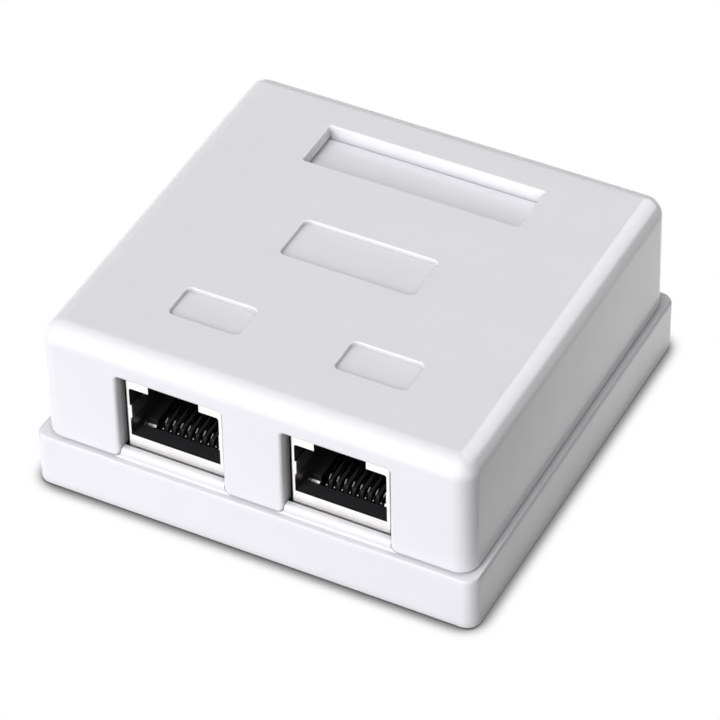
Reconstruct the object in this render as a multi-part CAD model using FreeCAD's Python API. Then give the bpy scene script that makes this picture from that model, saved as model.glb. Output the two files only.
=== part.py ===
import FreeCAD, Part
import math
import os

from FreeCAD import Vector

# Two-port surface-mount network outlet box with shielded sockets.
# Millimetres. The origin is the middle of the tray's underside, +Z is up,
# and the two sockets face -Y.

# Case walls and outside edges
TRAY_WALL = 2.2
TRAY_FLOOR = 1.8
SEAM_Z = 7.4            # height at which the cover stands on the tray
CORNER_R = 1.8          # upright corners of the tray
TRAY_INNER_R = 0.4
SHOULDER_R = 0.45       # rounding of the tray's upper outer edge
FOOT_BEVEL = 0.35       # bevel of the tray's lower outer edge
COVER_STEP = 1.0        # the cover is set in from the tray by this much
COVER_WALL = 1.5
COVER_CORNER_R = 2.4    # upright corners of the cover
COVER_TOP = 2.0
COVER_EDGE_R = 2.6      # rounding round the cover's top face
COVER_DRAFT_DEG = 0.4   # mould taper of the cover's side walls
HEADROOM = 1.7          # free height above the sockets, inside the cover

# Sockets for eight-way modular plugs
PORT_PITCH = 21.74
SOCKET_W = 11.9
SOCKET_H = 7.28
SOCKET_CORNER_R = 0.35
SOCKET_FLOOR_H = 2.44   # from the board to the floor of the socket
LATCH_W = 6.7
LATCH_H = 1.1
JACK_D = 15.5
JACK_HEAD = 1.58        # from the latch notch to the top of the shield
JACK_REAR = 2.9         # from the end of the socket to the back of the shield
LATCH_STOP = 6.0        # from the end of the latch notch to the back of the shield
JACK_WALL = 0.27        # side wall of the plastic housing
SHEET = 0.2             # metal of the shield
SHIELD_EDGE_R = 0.22
SPRING_H = 2.0          # height of the shield's two side springs
SPRING_REACH = 0.45     # how far they stand into the socket
SPRING_LENGTH = 5.2
SPRING_CREST = 0.6      # place of the spring's crest, as a share of its length
SHIELD_LEG_W = 1.2
FRONT_LEG_SETBACK = 4.5 # from the shield's face to its front legs
REAR_LEG_TO_BACK = 3.0
LUG_D = 0.7             # lugs of the shield beside the wires
LUG_T = 0.4
LUG_SETBACK = 2.6       # from the shield's face
LUG_DROP = 0.3          # below the socket's floor
LUG_BEVEL = 0.3
LUG_TO_WIRES = 0.15     # from the outermost wire's place to a lug
LUG_GAP = 0.15
LUG_SHOWN = 1.25        # how much of a lug the window in the socket's floor bares
LUG_WINDOW_D = 0.45     # free depth of the window in front of a lug

# Contact wires of a socket
CONTACTS = 8
CONTACT_PITCH = 1.016
CONTACT_W = 0.34
CONTACT_T = 0.35
CONTACT_BEND_R = 0.5
CONTACT_SETBACK = 2.9   # from the shield's face to the front of the bend
CONTACT_SLOPE_DEG = 25.0
CONTACT_TO_REAR = 1.8   # from the free ends to the end of the socket
PIN_TO_REAR = (4.4, 2.2)   # two staggered rows of pins, from the end of the socket
CARRIER_T = 0.5         # tongue under the wires
CARRIER_H = 7.9
CARRIER_GAP = 0.1       # between the carrier and the housing
COMB_RIB = 0.4
COMB_START = 2.1
COMB_TO_REAR = 5.0      # from the comb to the end of the socket
COMB_MARGIN = 0.3       # free width beside the outermost wires
COMB_GAP = 0.1          # between the ribs and the carrier's tongue
RIB_LOW_H = 0.5         # height of a rib in front of the wires' bends
RIB_RISE_D = 0.5        # a rib rises to the socket's floor over this length

# Openings for the sockets in the cover, and the sills under them
PORT_GAP = 0.56         # between shield and cover, at each side
PORT_CORNER_R = 0.5
PORT_FLARE_R = 0.9      # rounding at the foot of the opening's sides
PORT_LIP_R = 0.45       # rounding of the opening's front edges
PORT_HEAD = 1.13        # from the latch notch to the top of the opening
PORT_REACH = 1.5        # the opening's prism runs this far past the wall
GUIDE_T = 0.9           # ribs inside the cover beside each socket opening
GUIDE_REACH = 0.8       # they end this far behind the shield's face
SILL_H = 1.3
SILL_EDGE_R = 0.6
SILL_ROOT_R = 0.25
SILL_GAP = 0.18         # between sill and shield
SILL_SIDE_GAP = 0.06
SILL_SET_IN = 0.25      # the sill stands back from the cover's front by this much
JACK_RELIEF = 0.25      # free space round the shields in the cover's front wall

# Circuit board and its screws
BOARD_T = 1.6
BOARD_CORNER_R = 0.8
POST_H = 4.7
POST_R = 2.7
POST_FRONT_MARGIN = 0.6 # keeps the front posts clear of the tray's wall
BOARD_EDGE_GAP = 0.5
BOARD_SETBACK = 0.35    # from the shield's face to the board's front edge
BOARD_REAR_MARGIN = 2.4
SCREW_LAND = 5.8        # strip of the board outside the terminal blocks
BOARD_SCREW_R = 1.2
BOARD_SCREW_HEAD_R = 2.2
BOARD_SCREW_HEAD_H = 1.5
BOARD_SCREW_LENGTH = 5.0

# Punch-down terminal blocks
TERMINALS_PER_ROW = 4
TERMINAL_PITCH = 4.0
TERMINAL_SLOT_W = 1.2
TERMINAL_SLOT_MOUTH = 2.0
TERMINAL_SLOT_FLARE = 1.2
TERMINAL_SLOT_LIFT = 0.6   # slots end this far above the foot
BLOCK_END_W = 1.7       # outermost tower, beyond the last slot
BLOCK_D = 12.6
BLOCK_FOOT_H = 3.2
BLOCK_H = 9.2
BLOCK_ROW_D = 3.8
BLOCK_CREST = 1.2       # flat top of a tower, front to back
BLOCK_BEVEL_H = 1.4
BLOCK_GAP = 4.0         # between the shields and the blocks
BLADE_W = 2.4
BLADE_T = 0.5
BLADE_SLIT = 0.4
BLADE_H = 7.2
BLADE_FOOT = 0.3        # from the board to the blade's shoulders
BLADE_LEAD = 0.9        # height of the fork's open mouth
BLADE_TAIL_W = 0.7
TAIL_LENGTH = 2.4       # of every pin, from the board's upper face down

# Space and fixings behind the terminal blocks
REAR_BAY = 22.2         # from the blocks to the back of the tray
CABLE_R = 3.7
INLET_GAP = 0.3
CLAMP_T = 0.8
CLAMP_D = 6.0
CLAMP_SPAN = 13.6       # between the two screws of one clamp
CLAMP_FOOT = 2.3        # from the screw to the end of the clamp
CLAMP_CORNER = 1.2
CLAMP_TO_PILLAR = 1.0   # between the cover's pillar and the nearest clamp post
CLAMP_FROM_REAR = 7.4
CLAMP_SCREW_R = 1.2
CLAMP_SCREW_HEAD_R = 2.0
CLAMP_SCREW_HEAD_H = 1.4
CLAMP_SCREW_LENGTH = 6.0
CLAMP_POST_R = 2.3
CRADLE_D = 5.0
CRADLE_RISE = 0.2       # the cable lies this far above the seam

# Cover screw with its boss and pillar, under the label
LABEL_FROM_REAR = 11.12
SCREW_R = 1.45
SCREW_HEAD_R = 2.7
SCREW_HEAD_H = 1.7
SCREW_LENGTH = 12.0
PILLAR_WALL = 1.3
BOSS_R = 3.6
BOSS_H = 9.6
BOSS_SEAT_GAP = 0.1
SCREW_SLOT_SHARE = 0.55 # arm of every screw's cross slot, as a share of the head

# Recesses in the cover's top face
LABEL_W = 28.9
LABEL_D = 7.17
LABEL_DEPTH = 2.0
LABEL_T = 0.8
LABEL_GAP = 0.08
LABEL_TUCK = 1.2        # how far the plate's left end runs under the pocket's lip
LABEL_SLIT_H = 1.2      # open slit between plate and lip
LABEL_CORNER_R = 0.35
LABEL_FLOOR = 1.4
LABEL_POCKET_WALL = 1.2
LABEL_BEVEL = 0.1
NAME_W = 17.74
NAME_D = 6.79
NAME_Y = 0.24
PORT_MARK_W = 9.28
PORT_MARK_D = 5.05
PORT_MARK_FROM_FRONT = 12.49
MARK_DEPTH = 0.6
MARK_CORNER_R = 0.8
MARK_BEVEL = 0.22
LABEL_RIM_BEVEL = 0.3

# Upright tabs on the tray that locate the cover
TAB_T = 1.5
TAB_W = 8.0
TAB_RISE = 1.8
TAB_GAP = 0.15
TAB_BEVEL = 0.4
TAB_SPREAD = 13.0       # side tabs, from the middle of the case

# Slots for two wall screws
WALL_SCREW_SPACING = 40.0
WALL_SLOT_R = 2.1
WALL_SLOT_LENGTH = 8.0
WALL_SLOT_FROM_REAR = 14.6

# General clearances
SCREW_CLEARANCE = 0.05
HOLE_CLEARANCE = 0.2
PIN_CLEARANCE = 0.12
BLADE_CLEARANCE = 0.05
HOLD_DOWN_GAP = 0.3
HOLD_DOWN_T = 1.2
HOLD_DOWN_PLACES = (0.3, 0.75)   # along the sockets

# Heights
BOARD_Z = TRAY_FLOOR + POST_H
BOARD_TOP = BOARD_Z + BOARD_T
SOCKET_FLOOR_Z = BOARD_TOP + SOCKET_FLOOR_H
SOCKET_TOP_Z = SOCKET_FLOOR_Z + SOCKET_H
LATCH_TOP_Z = SOCKET_TOP_Z + LATCH_H
JACK_TOP_Z = LATCH_TOP_Z + JACK_HEAD
CASE_H = JACK_TOP_Z + HEADROOM + COVER_TOP
CEILING_Z = CASE_H - COVER_TOP
PORT_TOP_Z = LATCH_TOP_Z + PORT_HEAD
SILL_Z = SEAM_Z + SILL_H
CABLE_Z = SEAM_Z + CRADLE_RISE + CABLE_R
LABEL_SEAT_Z = CASE_H - LABEL_DEPTH - LABEL_T
SCREW_SEAT_Z = LABEL_SEAT_Z - SCREW_HEAD_H - HOLE_CLEARANCE
BOSS_TOP_Z = TRAY_FLOOR + BOSS_H

# Widths and depths
JACK_W = SOCKET_W + 2 * (JACK_WALL + SHEET)
WIRE_ROW_W = CONTACTS * CONTACT_PITCH
LUG_INSIDE = WIRE_ROW_W / 2 + LUG_TO_WIRES
SOCKET_DEPTH = JACK_D - JACK_REAR
LATCH_DEPTH = JACK_D - LATCH_STOP
SHIELD_LEG_PLACES = (FRONT_LEG_SETBACK, JACK_D - REAR_LEG_TO_BACK)
PORT_W = JACK_W + 2 * PORT_GAP
TERMINAL_SPAN = (TERMINALS_PER_ROW - 1) * TERMINAL_PITCH
BLOCK_W = TERMINAL_SPAN + TERMINAL_SLOT_W + 2 * BLOCK_END_W
BOARD_W = PORT_PITCH + BLOCK_W + 2 * SCREW_LAND
CASE_W = BOARD_W + 2 * (BOARD_EDGE_GAP + TAB_T + TRAY_WALL)
CASE_D = TRAY_WALL + SILL_GAP + JACK_D + BLOCK_GAP + BLOCK_D + REAR_BAY
COVER_W = CASE_W - 2 * COVER_STEP
COVER_D = CASE_D - 2 * COVER_STEP
COVER_INNER_R = COVER_CORNER_R - COVER_WALL
CEILING_R = COVER_EDGE_R - COVER_WALL
DRAFT = math.tan(math.radians(COVER_DRAFT_DEG))

# Places, front to back and side to side
FRONT_Y = -CASE_D / 2
REAR_Y = CASE_D / 2
COVER_FRONT_Y = FRONT_Y + COVER_STEP
JACK_Y = FRONT_Y + TRAY_WALL + SILL_GAP
BLOCK_Y = JACK_Y + JACK_D + BLOCK_GAP + BLOCK_D / 2
BOARD_FRONT_Y = JACK_Y + BOARD_SETBACK
BOARD_REAR_Y = BLOCK_Y + BLOCK_D / 2 + BOARD_REAR_MARGIN
ROW_OFFSET = (BLOCK_D - BLOCK_ROW_D) / 2
CLAMP_Y = REAR_Y - CLAMP_FROM_REAR
LABEL_Y = REAR_Y - LABEL_FROM_REAR
WALL_SLOT_Y = REAR_Y - WALL_SLOT_FROM_REAR
PORT_MARK_Y = FRONT_Y + PORT_MARK_FROM_FRONT
PILLAR_R = SCREW_HEAD_R + HOLE_CLEARANCE + PILLAR_WALL
INLET_X = PILLAR_R + CLAMP_TO_PILLAR + CLAMP_POST_R + CLAMP_SPAN / 2
PORT_XS = {"left": -PORT_PITCH / 2, "right": PORT_PITCH / 2}
INLET_XS = {"left": -INLET_X, "right": INLET_X}
POST_INSET = POST_R
POST_XS = (-BOARD_W / 2 + POST_INSET, BOARD_W / 2 - POST_INSET)
POST_YS = (BOARD_FRONT_Y + POST_INSET + POST_FRONT_MARGIN, BOARD_REAR_Y - POST_INSET)

TINY = 0.01
SINK = 0.5              # how far a piece reaches into the wall it grows from


def box(x0, x1, y0, y1, z0, z1):
    """Plain block between two corners."""
    return Part.makeBox(x1 - x0, y1 - y0, z1 - z0, Vector(x0, y0, z0))


def cylinder(x, y, z0, z1, radius):
    """Upright round bar."""
    return Part.makeCylinder(radius, z1 - z0, Vector(x, y, z0))


def outline(start, *moves):
    """Closed flat face: a move is a point, or a pair (point on the arc, end of the arc)."""
    edges = []
    here = Vector(*start)
    for move in moves + (start,):
        if isinstance(move[0], tuple):
            middle = Vector(*move[0])
            end = Vector(*move[1])
            edges.append(Part.Arc(here, middle, end).toShape())
        else:
            end = Vector(*move)
            if (end - here).Length < TINY:
                continue
            edges.append(Part.LineSegment(here, end).toShape())
        here = end
    return Part.Face(Part.Wire(edges))


def rounded_rectangle(width, depth, radius, z, x=0.0, y=0.0):
    """Closed wire with four round corners, level at height z."""
    edges = []
    corners = ((1, 1, 0), (-1, 1, 90), (-1, -1, 180), (1, -1, 270))
    ends = []
    for side_x, side_y, angle in corners:
        centre = Vector(x + side_x * (width / 2 - radius), y + side_y * (depth / 2 - radius), z)
        circle = Part.Circle(centre, Vector(0, 0, 1), radius)
        arc = Part.ArcOfCircle(circle, math.radians(angle), math.radians(angle + 90)).toShape()
        ends.append((arc.valueAt(arc.FirstParameter), arc.valueAt(arc.LastParameter)))
        edges.append(arc)
    sides = []
    for index, edge in enumerate(edges):
        following = ends[(index + 1) % len(edges)]
        sides.append(edge)
        sides.append(Part.LineSegment(ends[index][1], following[0]).toShape())
    return Part.Wire(sides)


def slab(width, depth, radius, z0, z1, x=0.0, y=0.0):
    """Plate with round upright corners."""
    face = Part.Face(rounded_rectangle(width, depth, radius, z0, x, y))
    return face.extrude(Vector(0, 0, z1 - z0))


def tapered(width, depth, corner_r, top_r, z0, z1):
    """Block whose walls lean in with the mould taper, its corners and top edges round."""
    lean = DRAFT * (z1 - z0)
    signs = ((-1, -1), (1, -1), (1, 1), (-1, 1))
    low = [Vector(a * width / 2, b * depth / 2, z0) for a, b in signs]
    high = [Vector(a * (width / 2 - lean), b * (depth / 2 - lean), z1) for a, b in signs]
    loops = [low[::-1], high]
    for index in range(len(signs)):
        following = (index + 1) % len(signs)
        loops.append([low[index], low[following], high[following], high[index]])
    faces = [Part.Face(Part.makePolygon(loop + loop[:1])) for loop in loops]
    block = Part.Solid(Part.makeShell(faces))
    uprights = [e for e in block.Edges if e.BoundBox.ZLength > (z1 - z0) / 2]
    block = block.makeFillet(corner_r, uprights)
    return round_level(block, z1, top_r)


def level_edges(shape, z):
    """Edges of a shape that lie wholly at height z."""
    return [e for e in shape.Edges
            if abs(e.BoundBox.ZMin - z) < TINY and abs(e.BoundBox.ZMax - z) < TINY]


def round_level(shape, z, radius):
    """The shape with its edges at height z rounded."""
    return shape.makeFillet(radius, level_edges(shape, z))


def fuse(shapes):
    """One clean solid from pieces that touch or overlap."""
    whole = shapes[0].multiFuse(shapes[1:]) if len(shapes) > 1 else shapes[0]
    return whole.removeSplitter()


def recess(width, depth, corner_r, bevel, floor_z, x, y):
    """Cutter for a recess in the cover's top, with a bevelled rim."""
    pocket = slab(width, depth, corner_r, floor_z, CASE_H, x, y)
    rim_z = CASE_H - bevel
    rim = slab(width + 2 * bevel, depth + 2 * bevel, corner_r + bevel, rim_z, CASE_H + 1, x, y)
    rim = rim.makeChamfer(bevel, level_edges(rim, rim_z))
    return fuse([pocket, rim])


def strip(points, thickness, radii, width, across):
    """Bent metal strip along a flat path of points, with a bend radius (or 0) for each corner."""
    half = thickness / 2
    path = [Vector(*p) for p in points]
    span = Vector(*across)
    left = []
    right = []

    def side_of(start, end):
        return (end - start).cross(span).normalize()

    first_side = side_of(path[0], path[1])
    left.append(("point", path[0] + first_side * half))
    right.append(("point", path[0] - first_side * half))
    for before, corner, after, radius in zip(path, path[1:], path[2:], radii):
        into = (corner - before).normalize()
        out = (after - corner).normalize()
        turn = into.getAngle(out)
        if radius == 0:
            outside = (side_of(before, corner) + side_of(corner, after)).normalize()
            mitre = half / math.cos(turn / 2)
            left.append(("point", corner + outside * mitre))
            right.append(("point", corner - outside * mitre))
            continue
        reach = radius * math.tan(turn / 2)
        start = corner - into * reach
        end = corner + out * reach
        inward = (out - into).normalize()
        centre = corner + inward * (radius / math.cos(turn / 2))
        middle = centre - inward * radius
        for rail, sign in ((left, 1), (right, -1)):
            points_on = []
            for point in (start, middle, end):
                away = (point - centre).normalize()
                facing = side_of(before, corner) if point is start else side_of(corner, after)
                if point is middle:
                    facing = side_of(before, corner) + side_of(corner, after)
                outward = 1 if away.dot(facing) > 0 else -1
                points_on.append(point + away * half * outward * sign)
            rail.append(("arc", points_on))
    last_side = side_of(path[-2], path[-1])
    left.append(("point", path[-1] + last_side * half))
    right.append(("point", path[-1] - last_side * half))

    def rail_edges(rail):
        edges = []
        here = rail[0][1]
        for kind, data in rail[1:]:
            target = data if kind == "point" else data[0]
            edges.append(Part.LineSegment(here, target).toShape())
            here = target
            if kind == "arc":
                edges.append(Part.Arc(*data).toShape())
                here = data[2]
        return edges

    caps = [Part.LineSegment(left[0][1], right[0][1]).toShape(),
            Part.LineSegment(left[-1][1], right[-1][1]).toShape()]
    edges = rail_edges(left) + rail_edges(right) + caps
    face = Part.Face(Part.Wire(Part.__sortEdges__(edges)))
    face.translate(span * (-width / 2))
    return face.extrude(span * width)


def cross_screw(x, y, seat_z, shank_r, head_r, head_h, length):
    """Screw with a flat round head and a cross slot, its head seated at seat_z."""
    top_z = seat_z + head_h
    shank = cylinder(0, 0, seat_z - length, seat_z + head_h / 2, shank_r)
    body = fuse([shank, cylinder(0, 0, seat_z, top_z, head_r)])
    arm = head_r * SCREW_SLOT_SHARE
    slot = arm / 4
    for half_x, half_y in ((arm, slot), (slot, arm)):
        body = body.cut(box(-half_x, half_x, -half_y, half_y, top_z - head_h / 2, top_z + 1))
    body.translate(Vector(x, y, 0))
    return body


def sill(x):
    """Raised lip of the tray that closes a socket opening below the shield."""
    front = COVER_FRONT_Y + SILL_SET_IN
    back = JACK_Y - SILL_GAP
    root = SILL_ROOT_R
    edge = min(SILL_EDGE_R, SILL_H - root)
    bend = 1 - math.sqrt(0.5)
    half = PORT_W / 2 + PORT_FLARE_R
    face = outline(
        (x - half, back, SEAM_Z - 1),
        (x - half, front - root, SEAM_Z - 1),
        (x - half, front - root, SEAM_Z),
        ((x - half, front - root * bend, SEAM_Z + root * bend),
         (x - half, front, SEAM_Z + root)),
        (x - half, front, SILL_Z - edge),
        ((x - half, front + edge * bend, SILL_Z - edge * bend),
         (x - half, front + edge, SILL_Z)),
        (x - half, back, SILL_Z))
    bar = face.extrude(Vector(2 * half, 0, 0))
    return bar.common(port_prism(x, SILL_SIDE_GAP, SEAM_Z - 1))


def locating_tab(x, y, along_x):
    """Upright tab on the tray's wall that stands inside the cover's wall."""
    wall = TRAY_WALL
    relief = COVER_STEP + COVER_WALL + TAB_GAP
    top = SEAM_Z + TAB_RISE
    inner = wall + TAB_T
    root = wall - SINK
    face = outline(
        (0, root, TRAY_FLOOR),
        (0, root, SEAM_Z - SINK - TAB_GAP),
        (0, relief, SEAM_Z - TAB_GAP),
        (0, relief, top - TAB_BEVEL),
        (0, relief + TAB_BEVEL, top),
        (0, inner, top),
        (0, inner, TRAY_FLOOR))
    tab = face.extrude(Vector(TAB_W, 0, 0))
    tab.translate(Vector(-TAB_W / 2, 0, 0))
    if along_x:
        turn = 180 if y > 0 else 0
        reach = REAR_Y
    else:
        turn = -90 if x < 0 else 90
        reach = CASE_W / 2
    tab.translate(Vector(0, -reach, 0))
    tab.rotate(Vector(0, 0, 0), Vector(0, 0, 1), turn)
    tab.translate(Vector(x, 0, 0) if along_x else Vector(0, y, 0))
    return tab


def wall_slot(x):
    """Cutter for one slot through the tray's floor."""
    slot = slab(WALL_SLOT_LENGTH, 2 * WALL_SLOT_R, WALL_SLOT_R - TINY, -1, TRAY_FLOOR + 1,
                x, WALL_SLOT_Y)
    return slot


def base_tray():
    """Tray with board posts, cover boss, cable cradles, sills and locating tabs."""
    outer = slab(CASE_W, CASE_D, CORNER_R, 0, SEAM_Z)
    outer = round_level(outer, SEAM_Z, SHOULDER_R)
    outer = outer.makeChamfer(FOOT_BEVEL, level_edges(outer, 0))
    hollow = slab(CASE_W - 2 * TRAY_WALL, CASE_D - 2 * TRAY_WALL, TRAY_INNER_R,
                  TRAY_FLOOR, SEAM_Z + 1)
    tray = outer.cut(hollow)
    added = [sill(x) for x in PORT_XS.values()]
    for y in (-TAB_SPREAD, TAB_SPREAD):
        added.append(locating_tab(-1, y, False))
        added.append(locating_tab(1, y, False))
    added.append(locating_tab(0, 1, True))
    root_z = TRAY_FLOOR - SINK
    for x in POST_XS:
        for y in POST_YS:
            added.append(cylinder(x, y, root_z, BOARD_Z, POST_R))
    added.append(cylinder(0, LABEL_Y, root_z, BOSS_TOP_Z, BOSS_R))
    for x in INLET_XS.values():
        for side in (-1, 1):
            post_x = x + side * CLAMP_SPAN / 2
            added.append(cylinder(post_x, CLAMP_Y, root_z, CABLE_Z, CLAMP_POST_R))
        half = CLAMP_SPAN / 2
        cradle = box(x - half, x + half, CLAMP_Y - CRADLE_D / 2, CLAMP_Y + CRADLE_D / 2,
                     root_z, CABLE_Z - CABLE_R / 2)
        trough = Part.makeCylinder(CABLE_R, CRADLE_D + 2,
                                   Vector(x, CLAMP_Y - CRADLE_D / 2 - 1, CABLE_Z),
                                   Vector(0, 1, 0))
        added.append(cradle.cut(trough))
    tray = fuse([tray] + added)
    cuts = [wall_slot(side * WALL_SCREW_SPACING / 2) for side in (-1, 1)]
    bore = SCREW_R + SCREW_CLEARANCE
    cuts.append(cylinder(0, LABEL_Y, TRAY_FLOOR, BOSS_TOP_Z + 1, bore))
    for x in POST_XS:
        for y in POST_YS:
            cuts.append(cylinder(x, y, TRAY_FLOOR, BOARD_Z + 1, BOARD_SCREW_R + SCREW_CLEARANCE))
    for x in INLET_XS.values():
        for side in (-1, 1):
            cuts.append(cylinder(x + side * CLAMP_SPAN / 2, CLAMP_Y, TRAY_FLOOR, CABLE_Z + 1,
                                 CLAMP_SCREW_R + SCREW_CLEARANCE))
    return tray.cut(cuts)


def port_prism(x, inset, low_z):
    """Prism of a socket opening, flared at its foot and drawn in by the inset."""
    half = PORT_W / 2 - inset
    flare = PORT_FLARE_R
    corner = PORT_CORNER_R
    bend = 1 - math.sqrt(0.5)
    y = COVER_FRONT_Y - SINK
    foot = SEAM_Z
    top = PORT_TOP_Z
    face = outline(
        (x - half - flare, y, low_z),
        (x - half - flare, y, foot),
        ((x - half - flare * bend, y, foot + flare * bend), (x - half, y, foot + flare)),
        (x - half, y, top - corner),
        ((x - half + corner * bend, y, top - corner * bend), (x - half + corner, y, top)),
        (x + half - corner, y, top),
        ((x + half - corner * bend, y, top - corner * bend), (x + half, y, top - corner)),
        (x + half, y, foot + flare),
        ((x + half + flare * bend, y, foot + flare * bend), (x + half + flare, y, foot)),
        (x + half + flare, y, low_z))
    return face.extrude(Vector(0, COVER_WALL + PORT_REACH, 0))


def jack_relief(x):
    """Cutter that frees the shield's upper edge from the inside of the front wall."""
    half = JACK_W / 2 + JACK_RELIEF
    return box(x - half, x + half, JACK_Y - JACK_RELIEF, JACK_Y + 1, SEAM_Z - 1,
               JACK_TOP_Z + JACK_RELIEF)


def inlet_opening(x):
    """Cutter for one arched cable inlet in the cover's rear wall."""
    radius = CABLE_R + INLET_GAP
    y = REAR_Y - COVER_STEP - COVER_WALL - 1
    face = outline(
        (x - radius, y, SEAM_Z - 1),
        (x - radius, y, CABLE_Z),
        ((x, y, CABLE_Z + radius), (x + radius, y, CABLE_Z)),
        (x + radius, y, SEAM_Z - 1))
    return face.extrude(Vector(0, COVER_WALL + 3, 0))


def guide_ribs(x):
    """Two upright ribs inside the front wall that carry the opening's sides further in."""
    ribs = []
    for side in (-1, 1):
        near = x + side * PORT_W / 2
        far = near + side * GUIDE_T
        ribs.append(box(min(near, far), max(near, far), COVER_FRONT_Y + COVER_WALL - SINK,
                        JACK_Y + GUIDE_REACH, BOARD_TOP + HOLD_DOWN_GAP, CEILING_Z + SINK))
    return ribs


def port_front_edges(shape):
    """Outer edges of the socket openings on the cover's front face."""
    chosen = []
    reach = PORT_W / 2 + PORT_FLARE_R + TINY
    for edge in shape.Edges:
        centre = edge.CenterOfMass
        front = COVER_FRONT_Y + DRAFT * (centre.z - SEAM_Z)
        on_front = all(
            abs(v.Point.y - COVER_FRONT_Y - DRAFT * (v.Point.z - SEAM_Z)) < TINY
            for v in edge.Vertexes)
        near_port = any(abs(centre.x - x) < reach for x in PORT_XS.values())
        above_foot = centre.z > SEAM_Z + 2 * TINY
        if on_front and abs(centre.y - front) < TINY and near_port and above_foot:
            if centre.z < PORT_TOP_Z + TINY:
                chosen.append(edge)
    return chosen


def cover():
    """Cover shell with socket openings, cable inlets, label pocket and screw pillar."""
    outer = tapered(COVER_W, COVER_D, COVER_CORNER_R, COVER_EDGE_R, SEAM_Z, CASE_H)
    shell = outer.cut([port_prism(x, 0, SEAM_Z - 1) for x in PORT_XS.values()])
    shell = shell.makeFillet(PORT_LIP_R, port_front_edges(shell))
    hollow = tapered(COVER_W - 2 * COVER_WALL, COVER_D - 2 * COVER_WALL, COVER_INNER_R,
                     CEILING_R, SEAM_Z, CEILING_Z)
    shell = shell.cut(hollow)
    added = []
    pocket = LABEL_POCKET_WALL
    tuck = LABEL_TUCK + LABEL_GAP
    added.append(slab(LABEL_W + tuck + 2 * pocket, LABEL_D + 2 * pocket, LABEL_CORNER_R + pocket,
                      LABEL_SEAT_Z - LABEL_FLOOR, CEILING_Z + SINK, -tuck / 2, LABEL_Y))
    added.append(cylinder(0, LABEL_Y, BOSS_TOP_Z + BOSS_SEAT_GAP, CEILING_Z, PILLAR_R))
    for x in PORT_XS.values():
        for place in HOLD_DOWN_PLACES:
            y = JACK_Y + JACK_D * place
            added.append(box(x - JACK_W / 3, x + JACK_W / 3, y - HOLD_DOWN_T / 2,
                             y + HOLD_DOWN_T / 2, JACK_TOP_Z + HOLD_DOWN_GAP, CEILING_Z + SINK))
        added.extend(guide_ribs(x))
    shell = fuse([shell] + added)
    cuts = [inlet_opening(x) for x in INLET_XS.values()]
    cuts.extend(jack_relief(x) for x in PORT_XS.values())
    cuts.append(recess(LABEL_W, LABEL_D, LABEL_CORNER_R, LABEL_RIM_BEVEL, LABEL_SEAT_Z, 0, LABEL_Y))
    left = -LABEL_W / 2
    cuts.append(box(left - tuck, left + SINK, LABEL_Y - LABEL_D / 2, LABEL_Y + LABEL_D / 2,
                    LABEL_SEAT_Z, LABEL_SEAT_Z + LABEL_T + LABEL_SLIT_H))
    cuts.append(cylinder(0, LABEL_Y, SCREW_SEAT_Z, LABEL_SEAT_Z + TINY,
                         SCREW_HEAD_R + HOLE_CLEARANCE))
    cuts.append(cylinder(0, LABEL_Y, SEAM_Z, SCREW_SEAT_Z + TINY, SCREW_R + HOLE_CLEARANCE))
    marks = [(NAME_W, NAME_D, 0, NAME_Y)]
    marks.extend((PORT_MARK_W, PORT_MARK_D, x, PORT_MARK_Y) for x in PORT_XS.values())
    for width, depth, x, y in marks:
        cuts.append(recess(width, depth, MARK_CORNER_R, MARK_BEVEL, CASE_H - MARK_DEPTH, x, y))
    return shell.cut(cuts)


def label_plate():
    """Blank plate over the cover screw, its left end tucked under the pocket's lip."""
    width = LABEL_W + LABEL_TUCK - LABEL_GAP
    middle = -(LABEL_TUCK + LABEL_GAP) / 2
    plate = slab(width, LABEL_D - 2 * LABEL_GAP, LABEL_CORNER_R, LABEL_SEAT_Z,
                 LABEL_SEAT_Z + LABEL_T, middle, LABEL_Y)
    return plate.makeChamfer(LABEL_BEVEL, level_edges(plate, LABEL_SEAT_Z + LABEL_T))


def socket_outline(x, y, depth):
    """Prism of the plug's opening with its latch notch, starting at y."""
    half = SOCKET_W / 2
    notch = LATCH_W / 2
    corner = SOCKET_CORNER_R
    bend = corner * (1 - math.sqrt(0.5))
    low = SOCKET_FLOOR_Z
    top = SOCKET_TOP_Z
    face = outline(
        (x - half, y, low),
        (x - half, y, top - corner),
        ((x - half + bend, y, top - bend), (x - half + corner, y, top)),
        (x - notch, y, top),
        (x - notch, y, LATCH_TOP_Z),
        (x + notch, y, LATCH_TOP_Z),
        (x + notch, y, top),
        (x + half - corner, y, top),
        ((x + half - bend, y, top - bend), (x + half, y, top - corner)),
        (x + half, y, low))
    return face.extrude(Vector(0, depth, 0))


def contact_x(x, index):
    """Side-to-side place of one contact of the socket centred at x."""
    return x + (index - (CONTACTS - 1) / 2) * CONTACT_PITCH


def pin_y(index):
    """Contact pins stand in two staggered rows."""
    return JACK_Y + SOCKET_DEPTH - PIN_TO_REAR[index % 2]


def contact_run_z():
    """Height of the wires' level stretch on the carrier's tongue."""
    return BOARD_TOP + CARRIER_T + CONTACT_T / 2


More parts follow.
